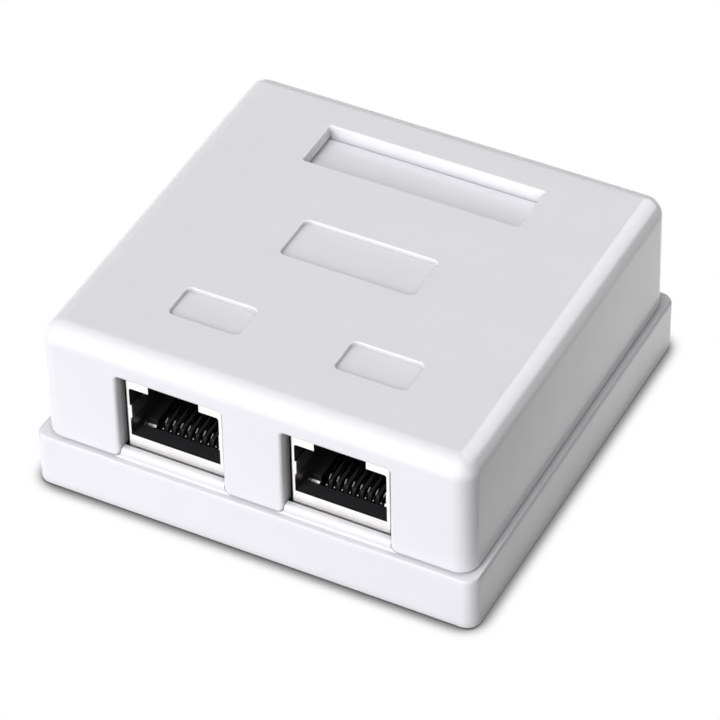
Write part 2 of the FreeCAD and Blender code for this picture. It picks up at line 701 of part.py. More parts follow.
def jack_contacts(x):
    """Eight spring wires: pin, level run, bend at the front, slope up to the rear."""
    slope = math.radians(CONTACT_SLOPE_DEG)
    run_z = contact_run_z()
    lead = CONTACT_BEND_R / math.tan(slope / 2) - CONTACT_BEND_R
    corner_y = JACK_Y + CONTACT_SETBACK + CONTACT_T / 2 - lead
    end_y = JACK_Y + SOCKET_DEPTH - CONTACT_TO_REAR
    end_z = run_z + (end_y - corner_y) * math.tan(slope)
    wires = []
    for index in range(CONTACTS):
        at = contact_x(x, index)
        path = [(at, pin_y(index), BOARD_TOP - TAIL_LENGTH),
                (at, pin_y(index), run_z),
                (at, corner_y, run_z),
                (at, end_y, end_z)]
        wires.append(strip(path, CONTACT_T, (0, CONTACT_BEND_R), CONTACT_W, (1, 0, 0)))
    return Part.makeCompound(wires)


def lug(x, side, spare):
    """Bar from the shield's side wall to the end of the row of wires, or its slot."""
    outside = x + side * (JACK_W / 2 - SHEET / 2 + spare)
    inside = x + side * (LUG_INSIDE - spare)
    y = JACK_Y + LUG_SETBACK
    z = SOCKET_FLOOR_Z - LUG_DROP
    bar = box(min(inside, outside), max(inside, outside), y - spare, y + LUG_D + spare,
              z - LUG_T - spare, z + spare)
    if spare:
        return bar
    front_top = [e for e in level_edges(bar, z) if e.BoundBox.YMax < y + TINY]
    return bar.makeChamfer(LUG_BEVEL, front_top)


def jack_housing(x):
    """Black insulator of a socket, with a comb between the wires."""
    half = JACK_W / 2 - SHEET
    body = box(x - half, x + half, JACK_Y + SHEET, JACK_Y + JACK_D - SHEET,
               BOARD_TOP, JACK_TOP_Z - SHEET)
    comb_half = WIRE_ROW_W / 2 + COMB_MARGIN
    rear = JACK_Y + JACK_D
    cuts = [
        socket_outline(x, JACK_Y, LATCH_DEPTH),
        box(x - SOCKET_W / 2, x + SOCKET_W / 2, JACK_Y + LATCH_DEPTH - TINY,
            JACK_Y + SOCKET_DEPTH, SOCKET_FLOOR_Z, SOCKET_TOP_Z),
        box(x - comb_half, x + comb_half, JACK_Y + COMB_START, rear,
            BOARD_TOP - 1, SOCKET_FLOOR_Z + TINY),
        box(x - SOCKET_W / 2, x + SOCKET_W / 2, JACK_Y + SOCKET_DEPTH - TINY, rear,
            BOARD_TOP - 1, BOARD_TOP + CARRIER_H + HOLE_CLEARANCE),
    ]
    cuts.extend(lug(x, side, LUG_GAP) for side in (-1, 1))
    window = LUG_INSIDE + LUG_SHOWN
    cuts.append(box(x - window, x + window, JACK_Y + LUG_SETBACK - LUG_WINDOW_D,
                    JACK_Y + LUG_SETBACK + LUG_D + LUG_GAP,
                    SOCKET_FLOOR_Z - LUG_DROP - LUG_T - LUG_GAP, SOCKET_FLOOR_Z + TINY))
    body = body.cut(cuts)
    ribs = []
    low = BOARD_TOP + CARRIER_T + COMB_GAP
    step_z = low + RIB_LOW_H
    front = JACK_Y + COMB_START - SINK
    step_y = JACK_Y + CONTACT_SETBACK
    end_y = JACK_Y + SOCKET_DEPTH - COMB_TO_REAR
    for index in range(CONTACTS - 1):
        edge = (contact_x(x, index) + contact_x(x, index + 1) - COMB_RIB) / 2
        side = outline(
            (edge, front, low),
            (edge, front, step_z),
            (edge, step_y, step_z),
            (edge, step_y + RIB_RISE_D, SOCKET_FLOOR_Z),
            (edge, end_y, SOCKET_FLOOR_Z),
            (edge, end_y, low))
        ribs.append(side.extrude(Vector(COMB_RIB, 0, 0)))
    return fuse([body] + ribs)


def contact_carrier(x):
    """Insert that holds the wires: a tongue under them and a block behind the socket."""
    half = WIRE_ROW_W / 2 + COMB_MARGIN - CARRIER_GAP
    rear = JACK_Y + JACK_D - SHEET - CARRIER_GAP
    tongue = box(x - half, x + half, JACK_Y + COMB_START + CARRIER_GAP, rear,
                 BOARD_TOP, BOARD_TOP + CARRIER_T)
    wide = SOCKET_W / 2 - CARRIER_GAP
    block = box(x - wide, x + wide, JACK_Y + SOCKET_DEPTH, rear, BOARD_TOP,
                BOARD_TOP + CARRIER_H)
    body = fuse([tongue, block])
    hole = max(CONTACT_W, CONTACT_T) / 2 + PIN_CLEARANCE
    holes = []
    for index in range(CONTACTS):
        at = contact_x(x, index)
        y = pin_y(index)
        holes.append(box(at - hole, at + hole, y - hole, y + hole, BOARD_TOP - 1,
                         BOARD_TOP + CARRIER_T + 1))
    return body.cut(holes)


def side_spring(x, side):
    """Strip of the shield bent round the edge of the opening into the socket."""
    edge = x + side * SOCKET_W / 2
    z = (SOCKET_FLOOR_Z + SOCKET_TOP_Z) / 2
    half = SHEET / 2
    path = [(edge + side * SHEET, JACK_Y + half, z),
            (edge - side * half, JACK_Y + half, z),
            (edge - side * (SPRING_REACH - half), JACK_Y + SPRING_LENGTH * SPRING_CREST, z),
            (edge - side * SHEET, JACK_Y + SPRING_LENGTH, z)]
    bend = SHEET / 2 + TINY
    return strip(path, SHEET, (bend, bend), SPRING_H, (0, 0, 1))


def jack_shield(x):
    """Folded metal can round a socket, open below, with springs and board legs."""
    half = JACK_W / 2
    outer = box(x - half, x + half, JACK_Y, JACK_Y + JACK_D, BOARD_TOP, JACK_TOP_Z)
    folds = [e for e in outer.Edges
             if e.BoundBox.ZMax > JACK_TOP_Z - TINY
             and (e.BoundBox.ZMin > JACK_TOP_Z - TINY or e.BoundBox.YMax < JACK_Y + TINY)]
    outer = outer.makeFillet(SHIELD_EDGE_R, folds)
    inner = box(x - half + SHEET, x + half - SHEET, JACK_Y + SHEET, JACK_Y + JACK_D - SHEET,
                BOARD_TOP - 1, JACK_TOP_Z - SHEET)
    can = outer.cut([inner, socket_outline(x, JACK_Y - SINK, SHEET + 2 * SINK)])
    added = [side_spring(x, side) for side in (-1, 1)]
    added.extend(lug(x, side, 0) for side in (-1, 1))
    for side in (-1, 1):
        outside = x + side * half
        inside = outside - side * SHEET
        for place in SHIELD_LEG_PLACES:
            y = JACK_Y + place
            added.append(box(min(inside, outside), max(inside, outside), y - SHIELD_LEG_W / 2,
                             y + SHIELD_LEG_W / 2, BOARD_TOP - TAIL_LENGTH, BOARD_TOP + SINK))
    return fuse([can] + added)


def terminal_places(x):
    """Side-to-side places of one row of wire slots."""
    return [x - TERMINAL_SPAN / 2 + index * TERMINAL_PITCH for index in range(TERMINALS_PER_ROW)]


def terminal_rows():
    """Front-to-back places of the two rows."""
    return (BLOCK_Y - ROW_OFFSET, BLOCK_Y + ROW_OFFSET)


def terminal_block(x):
    """Punch-down block: a foot with two rows of towers, a wire slot between each pair."""
    half = BLOCK_W / 2
    foot_z = BOARD_TOP + BLOCK_FOOT_H
    top_z = BOARD_TOP + BLOCK_H
    parts = [box(x - half, x + half, BLOCK_Y - BLOCK_D / 2, BLOCK_Y + BLOCK_D / 2,
                 BOARD_TOP, foot_z)]
    slots = []
    for y in terminal_rows():
        row = BLOCK_ROW_D / 2
        crest = BLOCK_CREST / 2
        face = outline(
            (x - half, y - row, foot_z - SINK),
            (x - half, y - row, top_z - BLOCK_BEVEL_H),
            (x - half, y - crest, top_z),
            (x - half, y + crest, top_z),
            (x - half, y + row, top_z - BLOCK_BEVEL_H),
            (x - half, y + row, foot_z - SINK))
        parts.append(face.extrude(Vector(BLOCK_W, 0, 0)))
        for at in terminal_places(x):
            narrow = TERMINAL_SLOT_W / 2
            wide = TERMINAL_SLOT_MOUTH / 2
            flare_z = top_z - TERMINAL_SLOT_FLARE
            slot = outline(
                (at - narrow, y - row - 1, foot_z + TERMINAL_SLOT_LIFT),
                (at - narrow, y - row - 1, flare_z),
                (at - wide, y - row - 1, top_z + TINY),
                (at + wide, y - row - 1, top_z + TINY),
                (at + narrow, y - row - 1, flare_z),
                (at + narrow, y - row - 1, foot_z + TERMINAL_SLOT_LIFT))
            slots.append(slot.extrude(Vector(0, BLOCK_ROW_D + 2, 0)))
            groove = BLADE_W / 2 + BLADE_CLEARANCE
            deep = BLADE_T / 2 + BLADE_CLEARANCE
            slots.append(box(at - groove, at + groove, y - deep, y + deep, BOARD_TOP - 1,
                             BOARD_TOP + BLADE_H + HOLE_CLEARANCE))
    return fuse(parts).cut(slots)


def terminal_contacts(x):
    """Eight forked blades that cut into the wires, each with a tail through the board."""
    blades = []
    base = BOARD_TOP + BLADE_FOOT
    top = BOARD_TOP + BLADE_H
    fork = BOARD_TOP + BLOCK_FOOT_H + TERMINAL_SLOT_LIFT
    mouth = top - BLADE_LEAD
    half = BLADE_W / 2
    slit = BLADE_SLIT / 2
    tail = BLADE_TAIL_W / 2
    for y in terminal_rows():
        for at in terminal_places(x):
            front = y - BLADE_T / 2
            face = outline(
                (at - tail, front, BOARD_TOP - TAIL_LENGTH),
                (at - tail, front, base),
                (at - half, front, base),
                (at - half, front, top),
                (at - tail, front, top),
                (at - slit, front, mouth),
                (at - slit, front, fork),
                (at + slit, front, fork),
                (at + slit, front, mouth),
                (at + tail, front, top),
                (at + half, front, top),
                (at + half, front, base),
                (at + tail, front, base),
                (at + tail, front, BOARD_TOP - TAIL_LENGTH))
            blades.append(face.extrude(Vector(0, BLADE_T, 0)))
    return Part.makeCompound(blades)


def circuit_board():
    """Board that carries sockets and terminal blocks, with all its holes."""
    board = slab(BOARD_W, BOARD_REAR_Y - BOARD_FRONT_Y, BOARD_CORNER_R, BOARD_Z, BOARD_TOP, 0,
                 (BOARD_FRONT_Y + BOARD_REAR_Y) / 2)
    holes = []
    below = BOARD_Z - 1
    above = BOARD_TOP + 1

    def pin_hole(at, y, width, depth):
        half_x = width / 2 + PIN_CLEARANCE
        half_y = depth / 2 + PIN_CLEARANCE
        holes.append(box(at - half_x, at + half_x, y - half_y, y + half_y, below, above))

    for x in PORT_XS.values():
        for index in range(CONTACTS):
            pin_hole(contact_x(x, index), pin_y(index), CONTACT_W, CONTACT_T)
        for y in terminal_rows():
            for at in terminal_places(x):
                pin_hole(at, y, BLADE_TAIL_W, BLADE_T)
        for side in (-1, 1):
            for place in SHIELD_LEG_PLACES:
                pin_hole(x + side * (JACK_W / 2 - SHEET / 2), JACK_Y + place, SHEET, SHIELD_LEG_W)
    for x in POST_XS:
        for y in POST_YS:
            holes.append(cylinder(x, y, below, above, BOARD_SCREW_R + HOLE_CLEARANCE))
    return board.cut(holes)


def board_screws():
    """Four screws that hold the board on its posts."""
    return Part.makeCompound([
        cross_screw(x, y, BOARD_TOP, BOARD_SCREW_R, BOARD_SCREW_HEAD_R, BOARD_SCREW_HEAD_H,
                  BOARD_SCREW_LENGTH)
        for x in POST_XS for y in POST_YS])


def cable_clamp(x):
    """Metal saddle over a cable, screwed to two posts of the tray."""
    end = CLAMP_SPAN / 2 + CLAMP_FOOT
    z = CABLE_Z
    top = CABLE_R + CLAMP_T
    meet = math.sqrt(top ** 2 - CLAMP_T ** 2)
    y = CLAMP_Y - CLAMP_D / 2
    face = outline(
        (x - end, y, z),
        (x - CABLE_R, y, z),
        ((x, y, z + CABLE_R), (x + CABLE_R, y, z)),
        (x + end, y, z),
        (x + end, y, z + CLAMP_T),
        (x + meet, y, z + CLAMP_T),
        ((x, y, z + top), (x - meet, y, z + CLAMP_T)),
        (x - end, y, z + CLAMP_T))
    strap = face.extrude(Vector(0, CLAMP_D, 0))
    holes = [cylinder(x + side * CLAMP_SPAN / 2, CLAMP_Y, z - 1, z + CLAMP_T + 1,
                      CLAMP_SCREW_R + HOLE_CLEARANCE) for side in (-1, 1)]
    ends = [e for e in strap.Edges
            if e.BoundBox.XLength < TINY and e.BoundBox.YLength < TINY
            and abs(abs(e.CenterOfMass.x - x) - end) < TINY]
    return strap.makeChamfer(CLAMP_CORNER, ends).cut(holes)


def clamp_screws():
    """Four screws, two for each cable clamp."""
    return Part.makeCompound([
        cross_screw(x + side * CLAMP_SPAN / 2, CLAMP_Y, CABLE_Z + CLAMP_T, CLAMP_SCREW_R,
                  CLAMP_SCREW_HEAD_R, CLAMP_SCREW_HEAD_H, CLAMP_SCREW_LENGTH)
        for x in INLET_XS.values() for side in (-1, 1)])


def cover_screw():
    """Screw that holds the cover to the tray's boss."""
    return cross_screw(0, LABEL_Y, SCREW_SEAT_Z, SCREW_R, SCREW_HEAD_R, SCREW_HEAD_H, SCREW_LENGTH)


def all_parts():
    """Every piece of the box by its name."""
    parts = {
        "base_tray": base_tray(),
        "cover": cover(),
        "label_plate": label_plate(),
        "cover_screw": cover_screw(),
        "circuit_board": circuit_board(),
        "board_screws": board_screws(),
        "clamp_screws": clamp_screws(),
    }
    for side, x in PORT_XS.items():
        parts[side + "_jack_housing"] = jack_housing(x)
        parts[side + "_jack_shield"] = jack_shield(x)
        parts[side + "_jack_contacts"] = jack_contacts(x)
        parts[side + "_contact_carrier"] = contact_carrier(x)
        parts[side + "_terminal_block"] = terminal_block(x)
        parts[side + "_terminal_contacts"] = terminal_contacts(x)
    for side, x in INLET_XS.items():
        parts[side + "_cable_clamp"] = cable_clamp(x)
    return parts


os.makedirs("parts", exist_ok=True)
for name, shape in all_parts().items():
    shape.exportStep("parts/" + name + ".step")
    print(name, "valid", shape.isValid(), "solids", len(shape.Solids), "volume", round(shape.Volume, 2))
print("case", round(CASE_W, 2), round(CASE_D, 2), round(CASE_H, 2))
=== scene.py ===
import math

import bmesh
import bpy
import numpy as np
from bpy.props import FloatProperty, FloatVectorProperty, PointerProperty
from mathutils import Matrix, Vector


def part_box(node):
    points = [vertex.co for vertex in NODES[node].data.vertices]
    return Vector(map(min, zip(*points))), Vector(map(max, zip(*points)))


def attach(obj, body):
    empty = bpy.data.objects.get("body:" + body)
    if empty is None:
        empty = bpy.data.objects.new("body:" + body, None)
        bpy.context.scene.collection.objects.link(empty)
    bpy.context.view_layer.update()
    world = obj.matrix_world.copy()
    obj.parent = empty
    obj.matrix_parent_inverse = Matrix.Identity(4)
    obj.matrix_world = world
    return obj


bl_info = {
    "name": "Network outlet box",
    "version": (1, 0, 0),
    "blender": (4, 5, 0),
    "location": "3D View > Sidebar > Outlet Box",
    "description": "Finishes and lighting for a two-port surface-mount network outlet box",
    "category": "Object",
}

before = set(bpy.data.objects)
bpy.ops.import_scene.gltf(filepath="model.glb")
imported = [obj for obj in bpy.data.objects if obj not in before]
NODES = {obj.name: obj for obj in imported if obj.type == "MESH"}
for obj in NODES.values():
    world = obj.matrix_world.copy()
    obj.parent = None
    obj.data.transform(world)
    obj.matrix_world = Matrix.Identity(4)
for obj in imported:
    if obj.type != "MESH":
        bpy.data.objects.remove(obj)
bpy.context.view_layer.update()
MM = 0.001
SIDES = ("left", "right")

# The solids' own sizes, where a finish or the lip has to follow them
WIRES = 8
WIRE_W = 0.34 * MM
LABEL_GAP = 0.08 * MM

# The lip over the label plate
LIP_T = 0.5 * MM
LIP_TOP_H = 1.25 * MM        # from the plate up, 0.05 mm into the cover's own lip
LIP_EDGE_R = 0.15 * MM
LIP_EDGE_STEPS = 4

# Soft shading
FINE_EDGE = 32.0             # degrees up to which an edge is shaded as a rounding
WIDE_EDGE = 50.0
SHOULDER_H = 0.5 * MM        # the tray's rounded edge, under the seam
SHOULDER_TURN = 0.2          # what is left of the upward part of its shading
LEVEL_FACE = 0.99            # upward part of the normal from which a face counts as level
SAME_SPOT = 0.002 * MM       # corners nearer than this are one

# Finishes
CREASE_SHADE_REACH = 1.6           # reach of the painted shade in creases, in millimetres
SPRINGS_SHADE_H = 8.5 * MM     # height of the painted shade on the metal inside a can, from its top down
SPRINGS_SHADE_FROM_WALL = 0.5 * MM
SPRINGS_SHADE_FROM_FACE = 0.2 * MM
GLINT_START = 3.9 * MM        # where the painted glint on the wires starts, from the can's face
GLINT_END = 4.35 * MM
GLINT_FADE = 0.15 * MM
GLINT_COLOUR = (0.5, 0.495, 0.48, 1.0)
RING_R = 3.1 * MM            # bare metal on the board round its screws
RING_FADE = 0.1 * MM
RING_COLOUR = (0.62, 0.6, 0.55, 1.0)
TRACK_PITCH = 1.016 * MM
TRACK_FROM = 0.2 * MM        # half the gap between two tracks
TRACK_FADE = 0.04 * MM
TRACK_WAVE = 1.2 * MM
BOARD_SKIN = 0.05 * MM
LAMINATE_LIGHT = (0.28, 0.27, 0.13, 1.0)
LAMINATE_DARK = (0.2, 0.2, 0.09, 1.0)

# Stage
FLOOR_HALF = 2.0
FLOOR_LEFT = 0.29            # the floor's tone for the light that it throws back; its fall to the right is painted shade for light fading there
FLOOR_RIGHT = 0.14
FLOOR_MIRRORED = 1.2         # its brightness in a reflection, with white as 1
FLOOR_SHADE_REACH = 2.5      # in millimetres
KEY_FROM = (-0.27, -0.915, 0.3)
KEY_WIDTH = math.radians(62)
HIGH_KEY_FROM = (-0.15, -0.62, 0.77)
HIGH_KEY_WIDTH = math.radians(16)
RIM_FROM = (0.33, 0.67, 0.62)
RIM_WIDTH = math.radians(56)
LAMP_TINT = (1.0, 0.988, 1.035)
SKY_TINT = (1.0, 0.995, 0.98, 1.0)
SOFTBOX = 0.7                # the bright front, which only reflections see
SHIFT_RIGHT = 0.052 * MM     # of the camera, from the middle of the box
SHIFT_UP = -2.967 * MM
AIM_H = 12 * MM


# Shader maths

class Value:
    """A value that changes over a surface, with the arithmetic that the finishes use."""

    def __init__(self, graph, socket):
        self.graph = graph
        self.socket = socket

    def _math(self, operation, first, second):
        return self.graph.node("ShaderNodeMath", {"operation": operation}, {0: first, 1: second})

    def __add__(self, other):
        return self._math("ADD", self, other)

    def __radd__(self, other):
        return self._math("ADD", other, self)

    def __sub__(self, other):
        return self._math("SUBTRACT", self, other)

    def __rsub__(self, other):
        return self._math("SUBTRACT", other, self)

    def __mul__(self, other):
        return self._math("MULTIPLY", self, other)

    def __rmul__(self, other):
        return self._math("MULTIPLY", other, self)

    def __truediv__(self, other):
        return self._math("DIVIDE", self, other)

    def __rtruediv__(self, other):
        return self._math("DIVIDE", other, self)

    def __lt__(self, other):
        return self._math("LESS_THAN", self, other)

    def __gt__(self, other):
        return self._math("GREATER_THAN", self, other)

    def __abs__(self):
        return self._math("ABSOLUTE", self, 0.0)


class Graph:
    """The node tree of one finish."""

    def __init__(self, tree):
        self.tree = tree
        self.tree.nodes.clear()

    def node(self, kind, settings=None, inputs=None, output=0):
        """Makes one node: its settings first, then its sockets' values or links."""
        made = self.tree.nodes.new(kind)
        for name, value in (settings or {}).items():
            setattr(made, name, value)
        for key, value in (inputs or {}).items():
            if isinstance(value, Value):
                self.tree.links.new(value.socket, made.inputs[key])
            else:
                made.inputs[key].default_value = value
        return Value(self, made.outputs[output])

    def place(self):
        """Position on the object, in metres."""
        return self.node("ShaderNodeTexCoord", output="Object")

    def axes(self, place):
        """The three coordinates of a position."""
        return [self.node("ShaderNodeSeparateXYZ", None, {0: place}, axis) for axis in "XYZ"]

    def stretched(self, place, scale):
        """A position scaled by its own amount along each axis."""
        return self.node("ShaderNodeVectorMath", {"operation": "MULTIPLY"}, {0: place, 1: scale})

    def noise(self, place, grain, detail=2.0, roughness=0.5):
        """Soft noise from 0 to 1, whose lumps are about one grain wide, in millimetres."""
        inputs = {"Vector": place, "Scale": 1 / (grain * MM), "Detail": detail,
                  "Roughness": roughness}
        return self.node("ShaderNodeTexNoise", None, inputs, "Fac")

    def open_air(self, reach):
        """How free a place is of other surfaces within this many millimetres, from 0 to 1."""
        settings = {"samples": 12, "only_local": False}
        return self.node("ShaderNodeAmbientOcclusion", settings, {"Distance": reach * MM}, "AO")

    def ramp(self, value, low, high, start=0.0, end=1.0):
        """A value mapped from one range to another, smoothly and with its ends held."""
        settings = {"interpolation_type": "SMOOTHSTEP", "clamp": True}
        inputs = {0: value, 1: low, 2: high, 3: start, 4: end}
        return self.node("ShaderNodeMapRange", settings, inputs)

    def mix(self, factor, first, second):
        """Colour between two colours."""
        inputs = {0: factor, 6: first, 7: second}
        return self.node("ShaderNodeMix", {"data_type": "RGBA"}, inputs, 2)

    def bump(self, height, depth, normal=None):
        """Surface normal of a relief whose height of 1 stands this many millimetres."""
        inputs = {"Strength": 1.0, "Distance": depth * MM, "Height": height}
        if normal is not None:
            inputs["Normal"] = normal
        return self.node("ShaderNodeBump", None, inputs, "Normal")

    def surface(self, **inputs):
        """Ends the finish in one plain surface shader, its inputs named with underscores."""
        named = {key.replace("_", " "): value for key, value in inputs.items()}
        shader = self.node("ShaderNodeBsdfPrincipled", None, named)
        self.node_output(shader)

    def node_output(self, shader, kind="ShaderNodeOutputMaterial"):
        """Ends a tree in its output node."""
        self.tree.links.new(shader.socket, self.tree.nodes.new(kind).inputs["Surface"])


def finish_graph(name):
    """A new material and its empty node tree."""
    material = bpy.data.materials.new(name)
    material.use_nodes = True
    return material, Graph(material.node_tree)


def rgba(colour, gain=1.0):
    """A colour with full cover, made lighter or darker by a gain."""
    return (colour[0] * gain, colour[1] * gain, colour[2] * gain, 1.0)


# Finishes

def gloss_plastic(name, colour, roughness, crease_shade=0.72):
    """Moulded gloss plastic: faint flow waves, a fine skin and painted shade in the creases."""
    material, g = finish_graph(name)
    place = g.place()
    flow = g.noise(g.stretched(place, (1.0, 1.6, 1.0)), 9.0, 1.0)
    peel = g.noise(place, 1.6, 1.0)
    skin = g.noise(place, 0.18, 3.0)
    tone = g.mix(g.ramp(flow, 0.35, 0.65), rgba(colour), rgba(colour, 0.985))
    tone = g.mix(g.ramp(skin, 0.66, 0.8, 0.0, 0.35), tone, rgba(colour, 0.93))
    _, _, z = g.axes(place)
    # painted shade: darker where other surfaces lie near, but not in the lowest few tenths of a
    # millimetre
    painted_crease_shade = g.ramp(g.open_air(CREASE_SHADE_REACH), 0.4, 0.95, 1.0, 0.0) * g.ramp(z, 0.1 * MM, 0.4 * MM)
    tone = g.mix(painted_crease_shade, tone, rgba(colour, crease_shade))
    rough = roughness + (skin - 0.5) * 0.12 + (flow - 0.5) * 0.06
    waves = g.bump(peel, 0.004)
    normal = g.bump(skin, 0.0012, waves)
    g.surface(Base_Color=tone, Roughness=rough, Normal=normal, IOR=1.49)
    return material


def plated_sheet(name, colour, roughness, springs_shade=None):
    """Rolled and plated sheet metal: fine lines, cloudy plating and painted shade on the metal
    inside a can.
    """
    material, g = finish_graph(name)
    place = g.place()
    lines = g.noise(g.stretched(place, (1.0, 9.0, 9.0)), 1.2, 4.0, 0.6)
    cloud = g.noise(place, 2.5, 2.0)
    tone = g.mix(g.ramp(cloud, 0.3, 0.7), rgba(colour), rgba(colour, 0.93))
    rough = roughness + (lines - 0.5) * 0.16 + (cloud - 0.5) * 0.08
    if springs_shade:
        x, y, z = g.axes(place)
        low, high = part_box("right_jack_shield")
        half = (high.x - low.x) / 2
        from_middle = abs(abs(x) - (low.x + half))
        wall = half - SPRINGS_SHADE_FROM_WALL
        face = low.y + SPRINGS_SHADE_FROM_FACE
        inward = g.ramp(from_middle, wall, wall - 0.2 * MM)
        behind_face = g.ramp(y, face, face + 0.6 * MM)
        # painted shade: the can's metal away from its walls and behind its face is darker and
        # rougher
        bare = inward * behind_face * (z > high.z - SPRINGS_SHADE_H)
        tone = g.mix(bare, tone, springs_shade)
        rough = rough + bare * 0.2
    g.surface(Base_Color=tone, Metallic=1.0, Roughness=rough, Normal=g.bump(lines, 0.0015))
    return material


def spring_wire(name, colour, roughness):
    """Plated spring wire, rounded across, with a painted glint: a pale streak along each crown in a
    band behind the can's face.
    """
    material, g = finish_graph(name)
    place = g.place()
    x, y, _ = g.axes(place)
    shield_low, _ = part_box("right_jack_shield")
    row_low, row_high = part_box("right_jack_contacts")
    pitch = (row_high.x - row_low.x - WIRE_W) / (WIRES - 1)
    row = (abs(x) - (row_low.x + WIRE_W / 2)) / pitch
    off_crown = g.node("ShaderNodeMath", {"operation": "PINGPONG"}, {0: row, 1: 0.5}) * pitch
    drawn = g.noise(g.stretched(place, (12.0, 1.0, 1.0)), 0.9, 3.0)
    wear = g.noise(place, 0.6, 2.0)
    start = shield_low.y + GLINT_START
    end = shield_low.y + GLINT_END
    # painted glint: a pale, rougher, less metallic streak along each wire's crown, in a band behind
    # the can's face
    glint_band = g.ramp(y, start - GLINT_FADE, start) * g.ramp(y, end, end + GLINT_FADE, 1.0, 0.0)
    tone = g.mix(g.ramp(wear, 0.45, 0.7, 0.0, 0.4), rgba(colour), rgba(colour, 1.3))
    glint_line = glint_band * g.ramp(off_crown, 0.09 * MM, 0.04 * MM)
    tone = g.mix(glint_line, tone, GLINT_COLOUR)
    rough = roughness + (drawn - 0.5) * 0.14 + glint_line * 0.2
    crown = 1 - off_crown * off_crown * (2 / WIRE_W) * (2 / WIRE_W)
    relief = g.bump(crown, 0.08)
    g.surface(Base_Color=tone, Metallic=1 - glint_line * 0.8, Roughness=rough,
              Normal=g.bump(drawn, 0.001, relief))
    return material


def black_insulator(name, colour, roughness):
    """Glass-filled black plastic with a slightly grainy skin."""
    material, g = finish_graph(name)
    place = g.place()
    grain = g.noise(place, 0.12, 3.0, 0.6)
    cloud = g.noise(place, 3.0, 2.0)
    tone = g.mix(g.ramp(grain, 0.55, 0.8, 0.0, 0.5), rgba(colour), rgba(colour, 1.9))
    rough = roughness + (grain - 0.5) * 0.2 + (cloud - 0.5) * 0.1
    g.surface(Base_Color=tone, Roughness=rough, Normal=g.bump(grain, 0.002))
    return material


def board_laminate(name, colour, roughness):
    """Green board: tracks under the mask run front to back, bare rings lie at the screws."""
    material, g = finish_graph(name)
    place = g.place()
    x, y, z = g.axes(place)
    low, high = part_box("circuit_board")
    screws_low, screws_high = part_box("board_screws")
    ring_mid_y = (screws_high.y + screws_low.y) / 2
    spots = vertex_places(NODES["board_screws"].data)
    rear_right = spots[(spots[:, 0] > 0) & (spots[:, 1] > ring_mid_y)]
    ring_x = float(rear_right[:, 0].max() + rear_right[:, 0].min()) / 2
    ring_y = float(rear_right[:, 1].max() + rear_right[:, 1].min()) / 2 - ring_mid_y
    away_x = abs(x) - ring_x
    away_y = abs(y - ring_mid_y) - ring_y
    away = g.node("ShaderNodeMath", {"operation": "SQRT"}, {0: away_x * away_x + away_y * away_y})
    ring = g.ramp(away, RING_R, RING_R - RING_FADE)
    wave = g.noise(g.stretched(place, (0.0, 1.0, 0.0)), 6.0, 0.0)
    shifted = x + (wave - 0.5) * TRACK_WAVE
    stripe = g.node("ShaderNodeMath", {"operation": "PINGPONG"}, {0: shifted, 1: TRACK_PITCH / 2})
    track = g.ramp(stripe, TRACK_FROM, TRACK_FROM + TRACK_FADE)
    top = z > high.z - BOARD_SKIN
    bottom = z < low.z + BOARD_SKIN
    faces = top + bottom
    weave = g.noise(g.stretched(place, (1.0, 3.0, 1.0)), 0.5, 2.0)
    mask = g.mix(track * 0.8, rgba(colour), rgba(colour, 1.9))
    mask = g.mix(g.ramp(weave, 0.4, 0.7, 0.0, 0.3), mask, rgba(colour, 0.7))
    edge = g.mix(g.ramp(weave, 0.3, 0.7), LAMINATE_LIGHT, LAMINATE_DARK)
    skin = g.mix(ring, mask, RING_COLOUR)
    tone = g.mix(faces, edge, skin)
    bare = ring * faces
    rough = roughness + (weave - 0.5) * 0.15 + (1 - faces) * 0.35
    relief = track * 0.5 + ring * 0.3
    g.surface(Base_Color=tone, Metallic=bare * 0.9, Roughness=rough, Normal=g.bump(relief, 0.03))
    return material


def block_plastic(name, colour, roughness):
    """Off-white moulded plastic of the terminal blocks, with a satin skin."""
    material, g = finish_graph(name)
    place = g.place()
    flow = g.noise(place, 3.0, 2.0)
    skin = g.noise(place, 0.15, 3.0)
    tone = g.mix(g.ramp(flow, 0.3, 0.7), rgba(colour), rgba(colour, 0.95))
    rough = roughness + (skin - 0.5) * 0.15
    g.surface(Base_Color=tone, Roughness=rough, Normal=g.bump(skin, 0.002))
    return material


def zinc_steel(name, colour, roughness):
    """Zinc-plated steel: small crystals in the plating and blotches of tone."""
    material, g = finish_graph(name)
    place = g.place()
    inputs = {"Vector": place, "Scale": 1 / (0.7 * MM)}
    cells = g.node("ShaderNodeTexVoronoi", None, inputs, "Color")
    crystal = g.node("ShaderNodeSeparateXYZ", None, {0: cells}, "X")
    cloud = g.noise(place, 1.5, 3.0)
    tone = g.mix(g.ramp(cloud, 0.35, 0.65), rgba(colour), rgba(colour, 0.82))
    tone = g.mix(crystal * 0.25, tone, rgba(colour, 1.2))
    rough = roughness + (crystal - 0.5) * 0.12 + (cloud - 0.5) * 0.1
    g.surface(Base_Color=tone, Metallic=1.0, Roughness=rough, Normal=g.bump(cloud, 0.004))
    return material


# Work on the solids

def vertex_places(mesh):
    """The places of a mesh's vertices, one row each."""
    places = np.empty(len(mesh.vertices) * 3)
    mesh.vertices.foreach_get("co", places)
    return places.reshape(-1, 3)


def extruded(name, profile, start_y, end_y):
    """A solid bar from a profile of (x, z) points."""
    count = len(profile)
    corners = [(x, y, z) for y in (start_y, end_y) for x, z in profile]
    sides = [(i, (i + 1) % count, (i + 1) % count + count, i + count) for i in range(count)]
    ends = [tuple(range(count))[::-1], tuple(range(count, 2 * count))]
    mesh = bpy.data.meshes.new(name)
    mesh.from_pydata(corners, [], sides + ends)
    shape = bmesh.new()
    shape.from_mesh(mesh)
    bmesh.ops.recalc_face_normals(shape, faces=shape.faces)
    shape.to_mesh(mesh)
    shape.free()
    piece = bpy.data.objects.new(name, mesh)
    bpy.context.collection.objects.link(piece)
    return piece


